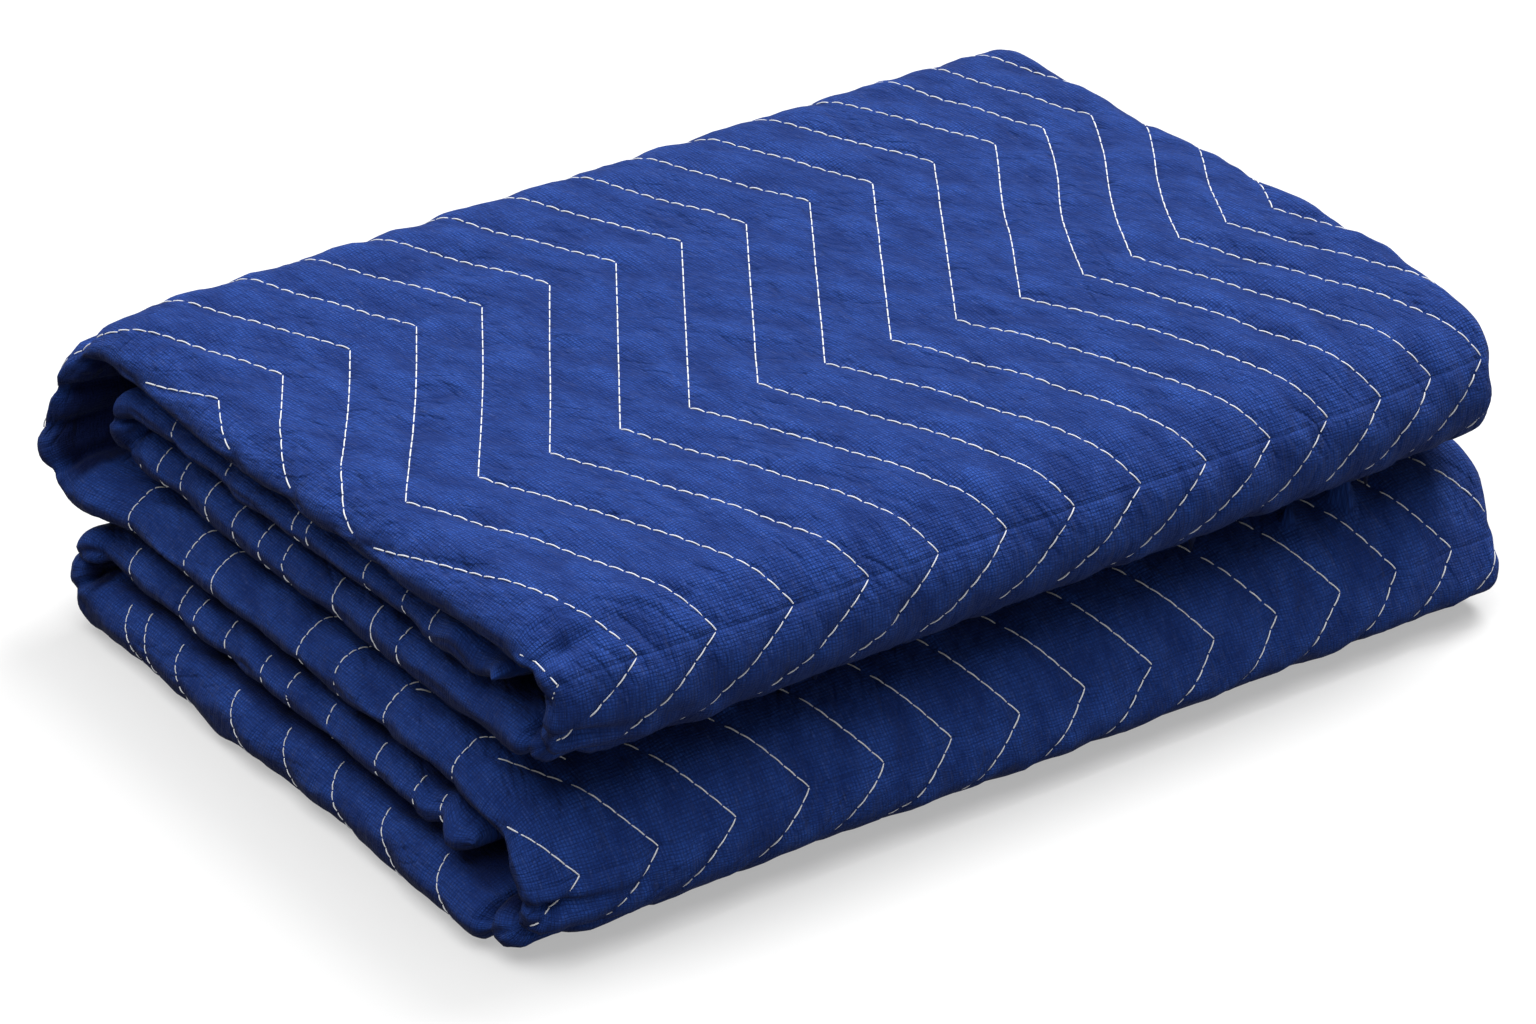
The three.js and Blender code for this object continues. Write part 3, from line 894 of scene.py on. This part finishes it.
def cloth_material(looks):
    """Woven cloth, mottled and rubbed by use, with painted light on the crests of its wrinkles, painted
    shade in their hollows, and painted shade where it is turned down or to the left and in the nooks
    between its rims.
    """
    material, tree, shader = new_material("royal blue quilted cloth")
    flat = add_node(tree, "ShaderNodeUVMap", uv_map="cloth").outputs["UV"]
    quilt = add_node(tree, "ShaderNodeUVMap", uv_map="quilt").outputs["UV"]
    rim, painted_light_share, wrinkle_light = (
        add_node(tree, "ShaderNodeAttribute", attribute_name=name).outputs["Fac"]
        for name in ("rim", "painted_light_share", "wrinkle_light")
    )
    weave = add_node(tree, "ShaderNodeGroup", node_tree=weave_group())
    weave.inputs["Pitch"].default_value = looks.weave_pitch
    wear = add_node(tree, "ShaderNodeGroup", node_tree=wear_group())
    pucker = add_node(tree, "ShaderNodeGroup", node_tree=pucker_group())
    for node in (weave, wear, pucker):
        tree.links.new(flat, node.inputs["Flat"])
    tree.links.new(quilt, pucker.inputs["Quilt"])
    tree.links.new(rim, pucker.inputs["Rim"])
    mottled = reckon(tree, "MULTIPLY_ADD", wear.outputs["Mottle"], 0.9, -0.3)
    # Painted light on the crests of the wrinkles and painted shade in their hollows, added to the real
    # mottling.
    mottle_and_wrinkle_light = reckon(tree, "MULTIPLY_ADD", wrinkle_light, 0.6, mottled, clamp=True)
    plain = mixed(tree, mottle_and_wrinkle_light, opaque(looks.cloth), opaque(looks.cloth_worn_and_lit))
    rubbed = mixed(tree, reckon(tree, "MULTIPLY", wear.outputs["Lint"], 0.35), plain, opaque(looks.lint))
    dark = reckon(tree, "MULTIPLY", reckon(tree, "SUBTRACT", 1.0, weave.outputs["Height"]), 0.9)
    woven = mixed(tree, dark, rubbed, opaque(looks.cloth_deep))
    # Painted shade: where the share of painted light drops, the colour gives way to the darker painted
    # shade colour.
    colour = mixed(tree, painted_light_share, opaque(looks.painted_shade_cloth), woven)
    tree.links.new(colour, shader.inputs["Base Color"])
    relief = reckon(tree, "MULTIPLY", pucker.outputs["Height"], 1.6)
    height = reckon(tree, "MULTIPLY_ADD", weave.outputs["Height"], 0.35, relief)
    bump = add_node(tree, "ShaderNodeBump", {"Height": height, "Strength": 1.0, "Distance": 0.0010})
    tree.links.new(bump.outputs["Normal"], shader.inputs["Normal"])
    set_inputs(
        shader,
        {
            "Roughness": 0.88,
            "Specular IOR Level": 0.08,
            "Sheen Weight": 0.02,
            "Sheen Roughness": 0.45,
            "Sheen Tint": (0.55, 0.65, 1.0, 1.0),
        },
    )
    return material


def thread_material(looks):
    """Matt thread, a little uneven."""
    material, tree, shader = new_material("white seam thread")
    place = add_node(tree, "ShaderNodeTexCoord").outputs["Object"]
    uneven = noise(tree, place, 900.0)["Fac"]
    colour = mixed(tree, uneven, opaque(looks.thread), opaque(looks.thread, 0.82))
    tree.links.new(colour, shader.inputs["Base Color"])
    bump = add_node(tree, "ShaderNodeBump", {"Height": uneven, "Strength": 0.4, "Distance": 0.2 * MM})
    tree.links.new(bump.outputs["Normal"], shader.inputs["Normal"])
    set_inputs(shader, {"Roughness": 0.7})
    return material


def add_looks(mesh, strip, run, flat, face):
    """Adds what the cloth's material reads: a share of painted light, full where it is turned up and
    giving way to painted shade where it is turned down or to the left and in the nooks between the rims,
    the painted light and shade of its wrinkles, its flat places, its places between the seams, and its
    rims."""
    normals = np.zeros(3 * len(mesh.vertices), dtype=np.float32)
    mesh.vertex_normals.foreach_get("vector", normals)
    normals = normals.reshape(-1, 3)
    leftward = np.clip(-normals[:, 0], 0, 1)
    # Painted shade on the parts turned down or to the left and in the nooks between the rims: 1 where the
    # cloth is lit, 0 where it is shaded.
    painted_light_share = smooth(normals[:, 2], 1.2 * leftward - 1.3, 0.45 * leftward + 0.3)
    add_values(mesh, "painted_light_share", painted_light_share * (1 - strip.painted_nook_shade(run, flat, face)))
    # Painted light and shade: lighter on the crests of the wrinkles, darker in their hollows.
    add_values(mesh, "wrinkle_light", 0.5 + 0.35 * strip.wrinkles(run, flat))
    add_map(mesh, "cloth", np.stack([flat, run], axis=-1))
    add_map(mesh, "quilt", np.stack([strip.seam_number(flat, run), strip.legs(run)], axis=-1))
    left, right, soft, firm = strip.edges(run)
    past = np.maximum((left - flat) / soft, (flat - right) / firm)
    add_values(mesh, "rim", np.sin(np.clip(past, 0, math.pi / 2)))


class BLANKET_OT_cloth(bpy.types.Operator):
    """Build the folded, quilted cloth"""

    bl_idname = "blanket.cloth"
    bl_label = "Build the cloth"

    def execute(self, context):
        strip = Strip(context.scene.blanket_sizes)
        samples, grid = blanket_grid(strip)
        used, triangles = np.unique(blanket_triangles(grid), return_inverse=True)
        run, flat, face, full = samples[used].T
        mesh = bpy.data.meshes.new("blanket_cloth")
        mesh.from_pydata(strip.surface(run, flat, face, full), [], triangles.reshape(-1, 3))
        mesh.shade_smooth()
        add_looks(mesh, strip, run, flat, face)
        if mesh.validate():
            raise RuntimeError("the cloth's mesh had faults")
        piece = show("blanket_cloth", mesh, cloth_material(context.scene.blanket_looks))
        declare(piece)
        return {"FINISHED"}


def split_where(inside, *columns):
    """The unbroken stretches of some columns where "inside" holds, if they have at least 3 values."""
    cuts = np.flatnonzero(np.diff(inside.astype(int))) + 1
    stretches = zip(np.split(inside, cuts), *(np.split(column, cuts) for column in columns))
    return [parts for good, *parts in stretches if good[0] and len(good) > 2]


def zigzag_paths(strip, face, start, end, wraps):
    """Paths of the zigzag seams over one face of a stretch of the strip, one for each leg, as columns
    of distances along the strip, flat places and faces. "wraps" is 1 if they go on round the left rim."""
    paths = []
    for low, high in zip(strip.corner_runs, strip.corner_runs[1:]):
        if high < start or low > end:
            continue
        run = np.linspace(low, high, PATH_STEPS + 1)
        left, right, soft, firm = strip.edges(run)
        for number in range(-SEAM_NUMBERS, SEAM_NUMBERS + 1):
            flat = strip.seam_place(number, run)
            inside = (flat > left - SEAM_WRAP * soft * wraps) & (flat < right + SEAM_WRAP * firm)
            inside &= (run > start) & (run < end)
            paths += split_where(inside, run, flat, np.full(run.shape, face))
    return paths


def rim_paths(strip):
    """Paths of the short seams across the left rims, and of what follows them over the upper faces."""
    paths = []
    dice = np.random.default_rng(8)
    for row in RIM_SEAMS:
        start, end = strip.layer_runs(row["layer"])
        first = strip.column(start, "y")
        forward = np.sign(strip.column(end, "y") - first)
        up = np.sign(strip.column((start + end) / 2, "nz"))
        for place in row["places"]:
            low, high = dice.uniform(*RIM_SEAM_ENDS), 90 if row["over"] else dice.uniform(*RIM_SEAM_ENDS)
            turn = np.radians(np.linspace(-low, high, PATH_STEPS))
            over = np.linspace(0, row["over"] * MM, PATH_STEPS // 2)[1:] if row["over"] else np.empty(0)
            y = strip.rim_seam_y(place, row, turn)
            y = np.append(y, y[-1] - row["slope"] * over * over / (over + 4 * MM))
            turn = np.append(turn, np.full(over.shape, math.pi / 2))
            run = start + forward * (y - first)
            left, _, soft, _ = strip.edges(run)
            flat = left - soft * (math.pi / 2 - np.abs(turn))
            flat[PATH_STEPS:] += over
            face = np.where(turn * up > 0, 1, -1)
            inside = (run > start + RIM_BEFORE) & (run < end - RIM_BEFORE)
            paths += split_where(inside, run, flat, face)
    return paths


def path_mesh(strip, name, paths, cloth):
    """A mesh of lines along the paths, laid onto the cloth. Each point knows the outward direction."""
    run, flat, face = (np.concatenate(column) for column in zip(*paths))
    points = strip.surface(run, flat, face)
    normals = strip.normal(run, flat, face)
    for i, (point, normal) in enumerate(zip(points, normals)):
        outside = Vector(point) + Vector(normal) * LAID_FROM
        spot = cloth.ray_cast(outside, -Vector(normal), LAID_DEEP)[0]
        if spot is not None:
            points[i] = spot
    points[:, 2] = np.maximum(points[:, 2], LOWEST_THREAD)
    mesh = bpy.data.meshes.new(name)
    sizes = [len(path[0]) for path in paths]
    ends = np.cumsum(sizes)
    edges = [(i, i + 1) for size, end in zip(sizes, ends) for i in range(end - size, end - 1)]
    mesh.from_pydata(points, edges, [])
    up = mesh.attributes.new("up", "FLOAT_VECTOR", "POINT")
    up.data.foreach_set("vector", normals.astype(np.float32).ravel())
    return mesh


def stitch_shape(tree, given):
    """Output of nodes that make one stitch along X, arched up in the middle and tapered to its ends."""
    half = reckon(tree, "MULTIPLY", given.outputs["Length"], 0.5)
    down = reckon(tree, "MULTIPLY", given.outputs["Width"], -0.10)
    up = reckon(tree, "MULTIPLY", given.outputs["Width"], 1.7)
    start = add_node(tree, "ShaderNodeCombineXYZ", {"X": reckon(tree, "MULTIPLY", half, -1.0), "Z": down})
    middle = add_node(tree, "ShaderNodeCombineXYZ", {"Z": up})
    end = add_node(tree, "ShaderNodeCombineXYZ", {"X": half, "Z": down})
    points = {"Start": start.outputs[0], "Middle": middle.outputs[0], "End": end.outputs[0]}
    arch = add_node(tree, "GeometryNodeCurveQuadraticBezier", {"Resolution": 6, **points})
    factor = add_node(tree, "GeometryNodeSplineParameter").outputs["Factor"]
    aside = reckon(tree, "ABSOLUTE", reckon(tree, "MULTIPLY_ADD", factor, 2.0, -1.0))
    radius = reckon(tree, "MULTIPLY_ADD", reckon(tree, "POWER", aside, 3.0), -0.6, 1.0)
    tapered = add_node(tree, "GeometryNodeSetCurveRadius", {"Curve": arch.outputs[0], "Radius": radius})
    thick = reckon(tree, "MULTIPLY", given.outputs["Width"], 0.5)
    ring = add_node(tree, "GeometryNodeCurvePrimitiveCircle", {"Resolution": 6, "Radius": thick})
    tube = {"Curve": tapered.outputs[0], "Profile Curve": ring.outputs["Curve"], "Fill Caps": True}
    return add_node(tree, "GeometryNodeCurveToMesh", tube).outputs["Mesh"]


def stitch_group():
    """Sews along the edges of a mesh: equal stitches on every path, each one edge of a resampled path."""
    inputs = [
        ("Paths", "NodeSocketGeometry", None),
        ("Pitch", "NodeSocketFloat", 0.0067),
        ("Length", "NodeSocketFloat", 0.006),
        ("Width", "NodeSocketFloat", 0.0009),
        ("Seed", "NodeSocketInt", 5),
        ("Thread", "NodeSocketMaterial", None),
    ]
    outputs = [("Stitches", "NodeSocketGeometry")]
    tree, given, result = new_group("Seam stitches", "GeometryNodeTree", inputs, outputs)
    curve = add_node(tree, "GeometryNodeMeshToCurve", {"Mesh": given.outputs["Paths"]})
    length = add_node(tree, "GeometryNodeSplineLength").outputs["Length"]
    stitches = reckon(tree, "ROUND", reckon(tree, "DIVIDE", length, given.outputs["Pitch"]))
    count = reckon(tree, "ADD", reckon(tree, "MAXIMUM", stitches, 1.0), 1.0)
    even = add_node(tree, "GeometryNodeResampleCurve", {"Curve": curve.outputs[0], "Count": count})
    line = add_node(tree, "GeometryNodeCurveToMesh", {"Curve": even.outputs[0]})
    tips = add_node(tree, "GeometryNodeInputMeshEdgeVertices").outputs
    along = reckon_vector(tree, "SUBTRACT", tips["Position 2"], tips["Position 1"])
    outward = add_node(tree, "GeometryNodeInputNamedAttribute", {"Name": "up"}, data_type="FLOAT_VECTOR")
    kept = tree.nodes.new("GeometryNodeCaptureAttribute")
    kept.domain = "EDGE"
    for label, socket in (("Along", along), ("Up", outward.outputs["Attribute"])):
        kept.capture_items.new("VECTOR", label)
        tree.links.new(socket, kept.inputs[label])
    tree.links.new(line.outputs["Mesh"], kept.inputs["Geometry"])
    spots = add_node(tree, "GeometryNodeMeshToPoints", {"Mesh": kept.outputs["Geometry"]}, mode="EDGES")
    axes = {"Primary Axis": kept.outputs["Up"], "Secondary Axis": kept.outputs["Along"]}
    turned = add_node(tree, "FunctionNodeAxesToRotation", axes, primary_axis="Z", secondary_axis="X")
    sizes = {0: (0.95, 0.88, 0.8), 1: (1.04, 1.12, 1.2), "Seed": given.outputs["Seed"]}
    dice = add_node(tree, "FunctionNodeRandomValue", sizes, data_type="FLOAT_VECTOR")
    placed = {
        "Points": spots.outputs[0],
        "Instance": stitch_shape(tree, given),
        "Rotation": turned.outputs[0],
        "Scale": dice.outputs[0],
    }
    sewn = add_node(tree, "GeometryNodeInstanceOnPoints", placed)
    real = add_node(tree, "GeometryNodeRealizeInstances", {"Geometry": sewn.outputs[0]})
    soft = add_node(tree, "GeometryNodeSetShadeSmooth", {"Geometry": real.outputs[0]})
    thread = {"Geometry": soft.outputs[0], "Material": given.outputs["Thread"]}
    dyed = add_node(tree, "GeometryNodeSetMaterial", thread)
    tree.links.new(dyed.outputs[0], result.inputs["Stitches"])
    return tree


def sew(strip, name, paths, tree, material, cloth, share=1.0):
    """Makes a piece of stitches along the paths, shortened to a share of the usual length."""
    thing = show(name, path_mesh(strip, name + "_paths", paths, cloth))
    modifier = thing.modifiers.new("stitches", "NODES")
    modifier.node_group = tree
    size = strip.size
    values = {
        "Pitch": size.stitch_pitch * share,
        "Length": size.stitch_length * share,
        "Width": size.thread_width * (1 + share) / 2,
        "Thread": material,
    }
    for item in tree.interface.items_tree:
        if item.name in values:
            modifier[item.identifier] = values[item.name]
    evaluated = thing.evaluated_get(bpy.context.evaluated_depsgraph_get())
    made = bpy.data.meshes.new_from_object(evaluated)
    made.name = name
    thing.modifiers.clear()
    thing.data = made
    if not len(made.polygons):
        raise RuntimeError(name + " has no stitches")
    declare(thing)


class BLANKET_OT_seams(bpy.types.Operator):
    """Sew the zigzag seams and the short seams across the left rims"""

    bl_idname = "blanket.seams"
    bl_label = "Sew the seams"

    def execute(self, context):
        strip = Strip(context.scene.blanket_sizes)
        material = thread_material(context.scene.blanket_looks)
        tree = stitch_group()
        upper = zigzag_paths(strip, 1, strip.spot(1, -0.1), strip.spot(2, 1.0), 1)
        nose, bottom = strip.spot(3, 0), strip.spot(3, 1.0)
        lower = zigzag_paths(strip, -1, nose - LOWER_TOP_SEWN, nose, 0)
        lower += zigzag_paths(strip, -1, nose, bottom, 1)
        lower += zigzag_paths(strip, -1, bottom, strip.spot(4, 1.0), 0)
        cloth = bpy.data.objects["blanket_cloth"].data
        corners = [vertex.co for vertex in cloth.vertices]
        tree_of_cloth = BVHTree.FromPolygons(corners, [face.vertices for face in cloth.polygons])
        sew(strip, "upper_seams", upper, tree, material, tree_of_cloth)
        sew(strip, "lower_seams", lower, tree, material, tree_of_cloth)
        sew(strip, "rim_seams", rim_paths(strip), tree, material, tree_of_cloth, RIM_STITCHES)
        return {"FINISHED"}


class BLANKET_OT_studio(bpy.types.Operator):
    """Set up the floor, the lights and the camera"""

    bl_idname = "blanket.studio"
    bl_label = "Set up the studio"

    def execute(self, context):
        studio = context.scene.blanket_studio
        mesh = bpy.data.meshes.new("floor")
        signs = ((-1, -1), (1, -1), (1, 1), (-1, 1))
        corners = [(x * FLOOR_REACH, y * FLOOR_REACH, FLOOR_LEVEL) for x, y in signs]
        mesh.from_pydata(corners, [], [(0, 1, 2, 3)])
        material, _, shader = new_material("pale floor")
        set_inputs(
            shader,
            {
                "Base Color": opaque(studio.floor),
                "Emission Color": (1, 1, 1, 1),
                "Emission Strength": studio.floor_glow,
                "Roughness": 0.9,
                "Specular IOR Level": 0.1,
            },
        )
        floor = show("floor", mesh, material)
        add_sun("soft_lamp", studio.lamp, studio.lamp_from, studio.softness)
        add_sun("key_lamp", studio.key, studio.key_from, studio.key_softness)
        world = bpy.data.worlds.new("even light")
        world.use_nodes = True
        set_inputs(world.node_tree.nodes["Background"], {"Color": (1, 1, 1, 1), "Strength": studio.sky})
        context.scene.world = world
        context.scene.view_settings.view_transform = "Standard"
        context.scene.camera = add_camera(studio)
        return {"FINISHED"}


def add_sun(name, strength, source, softness):
    """A lamp that lights the whole floor evenly, from the direction of its source."""
    data = bpy.data.lights.new(name, "SUN")
    data.energy = strength
    data.angle = softness
    lamp = bpy.data.objects.new(name, data)
    lamp.rotation_euler = (-Vector(source)).to_track_quat("-Z", "Y").to_euler()
    bpy.context.scene.collection.objects.link(lamp)


def add_camera(studio):
    """The camera at its place, turned, tilted and rolled."""
    data = bpy.data.cameras.new("camera")
    data.lens = studio.focal_length
    data.sensor_width = 36
    camera = bpy.data.objects.new("camera", data)
    turn, tilt, roll = (math.radians(angle) for angle in CAMERA_ANGLES)
    ahead = Vector((-math.sin(turn) * math.cos(tilt), math.cos(turn) * math.cos(tilt), -math.sin(tilt)))
    right = Vector((math.cos(turn), math.sin(turn), 0))
    up = right.cross(ahead)
    rolled_right = right * math.cos(roll) + up * math.sin(roll)
    rolled_up = up * math.cos(roll) - right * math.sin(roll)
    axes = Matrix((rolled_right, rolled_up, -ahead)).transposed().to_4x4()
    camera.matrix_world = Matrix.Translation(CAMERA_PLACE) @ axes
    bpy.context.scene.collection.objects.link(camera)
    return camera


class BLANKET_PT_panel(bpy.types.Panel):
    """Sizes, looks and steps of the blanket"""

    bl_label = "Folded moving blanket"
    bl_idname = "BLANKET_PT_panel"
    bl_space_type = "VIEW_3D"
    bl_region_type = "UI"
    bl_category = "Blanket"

    def draw(self, context):
        for name in GROUPS:
            group = getattr(context.scene, name)
            box = self.layout.box()
            for key in group.__annotations__:
                box.prop(group, key)
        for operator in OPERATORS:
            self.layout.operator(operator.bl_idname)


GROUPS = {
    "blanket_sizes": BlanketSizes,
    "blanket_looks": BlanketLooks,
    "blanket_studio": BlanketStudio,
}
OPERATORS = (BLANKET_OT_cloth, BLANKET_OT_seams, BLANKET_OT_studio)
CLASSES = (*GROUPS.values(), *OPERATORS, BLANKET_PT_panel)


def register():
    for item in CLASSES:
        bpy.utils.register_class(item)
    for name, group in GROUPS.items():
        setattr(bpy.types.Scene, name, bpy.props.PointerProperty(type=group))


def unregister():
    for name in GROUPS:
        delattr(bpy.types.Scene, name)
    for item in reversed(CLASSES):
        bpy.utils.unregister_class(item)


def main():
    """Builds everything in order."""
    register()
    bpy.ops.blanket.cloth()
    bpy.ops.blanket.seams()
    bpy.ops.blanket.studio()


if __name__ == "__main__":
    main()
